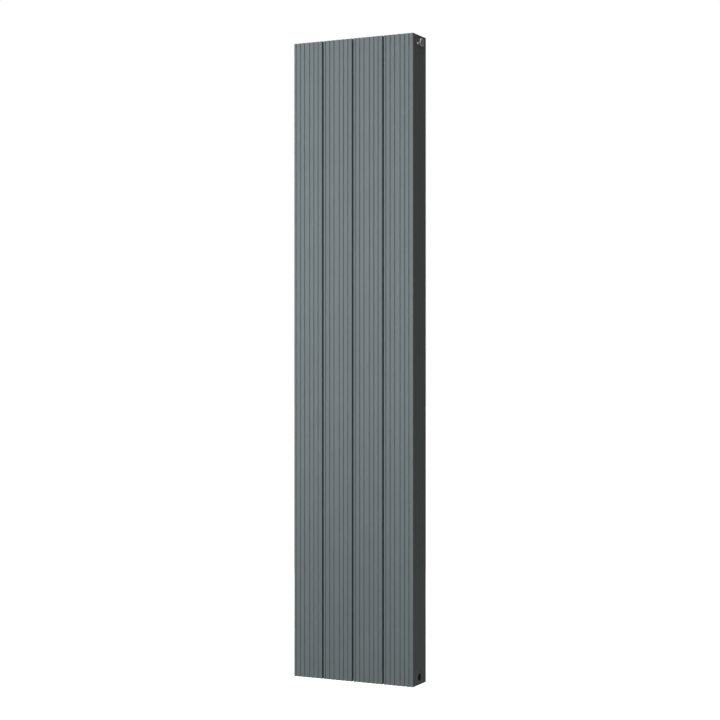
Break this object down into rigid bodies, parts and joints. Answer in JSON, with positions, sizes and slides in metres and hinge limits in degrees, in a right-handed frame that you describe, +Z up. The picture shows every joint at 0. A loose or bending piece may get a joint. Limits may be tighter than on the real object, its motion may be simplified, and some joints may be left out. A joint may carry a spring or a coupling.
{
  "type": "vertical radiator",
  "caption": "Tall wall-hung water radiator of flat ribbed aluminium sections, with an air vent, open valve ports and lift-off wall rails.",
  "frame": {"origin": "on the wall, at the centre of the upper rail's rear face", "axes": "+Z up, +X to the right seen from the room, +Y into the wall; the ribbed front faces -Y"},
  "size_m": [0.3854, 0.12, 1.8],
  "materials": {
    "powder_coat": "blue-grey satin powder coat with a fine orange-peel surface",
    "cast_aluminium": "as-cast, lightly grained",
    "zinc_plated_steel": "bright zinc plating",
    "chrome": "satin chrome plating",
    "rubber": "matt black rubber",
    "liner_plastic": "dark matt plastic"
  },
  "bodies": {
    "wall_rails": {"upper_rail": "zinc_plated_steel", "upper_rail_liner": "liner_plastic", "lower_rail": "zinc_plated_steel", "lower_rail_liner": "liner_plastic"},
    "radiator": {"section_1": "powder_coat", "upper_head_1": "cast_aluminium", "lower_head_1": "cast_aluminium", "section_2": "powder_coat", "upper_head_2": "cast_aluminium", "lower_head_2": "cast_aluminium", "section_3": "powder_coat", "upper_head_3": "cast_aluminium", "lower_head_3": "cast_aluminium", "section_4": "powder_coat", "upper_head_4": "cast_aluminium", "lower_head_4": "cast_aluminium", "upper_nipple_1": "zinc_plated_steel", "upper_spacer_ring_1": "rubber", "lower_nipple_1": "zinc_plated_steel", "lower_spacer_ring_1": "rubber", "upper_nipple_2": "zinc_plated_steel", "upper_spacer_ring_2": "rubber", "lower_nipple_2": "zinc_plated_steel", "lower_spacer_ring_2": "rubber", "upper_nipple_3": "zinc_plated_steel", "upper_spacer_ring_3": "rubber", "lower_nipple_3": "zinc_plated_steel", "lower_spacer_ring_3": "rubber", "upper_left_bush": "powder_coat", "upper_left_bush_seal": "rubber", "upper_right_bush": "powder_coat", "upper_right_bush_seal": "rubber", "lower_left_bush": "powder_coat", "lower_left_bush_seal": "rubber", "lower_right_bush": "powder_coat", "lower_right_bush_seal": "rubber", "blanking_plug": "powder_coat", "plug_o_ring": "rubber", "vent_body": "powder_coat", "vent_o_ring": "rubber", "upper_left_hanger": "zinc_plated_steel", "upper_left_bolt": "zinc_plated_steel", "upper_left_nut": "zinc_plated_steel", "upper_right_hanger": "zinc_plated_steel", "upper_right_bolt": "zinc_plated_steel", "upper_right_nut": "zinc_plated_steel", "lower_left_hanger": "zinc_plated_steel", "lower_left_bolt": "zinc_plated_steel", "lower_left_nut": "zinc_plated_steel", "lower_right_hanger": "zinc_plated_steel", "lower_right_bolt": "zinc_plated_steel", "lower_right_nut": "zinc_plated_steel"},
    "vent_spout": {"vent_spout": "chrome"},
    "bleed_screw": {"bleed_screw": "chrome"}
  },
  "joints": [
    {"name": "radiator_lift", "type": "slide", "parent": "wall_rails", "child": "radiator", "axis": [0, 0, 1], "range_m": [0, 0.018]},
    {"name": "vent_spout_turn", "type": "hinge", "parent": "radiator", "child": "vent_spout", "pos_m": [0.1857, -0.076, 0.229], "axis": [1, 0, 0], "continuous": true},
    {"name": "bleed_screw_turn", "type": "hinge", "parent": "radiator", "child": "bleed_screw", "pos_m": [0.1857, -0.076, 0.229], "axis": [1, 0, 0], "range_deg": [0, 360]}
  ]
}
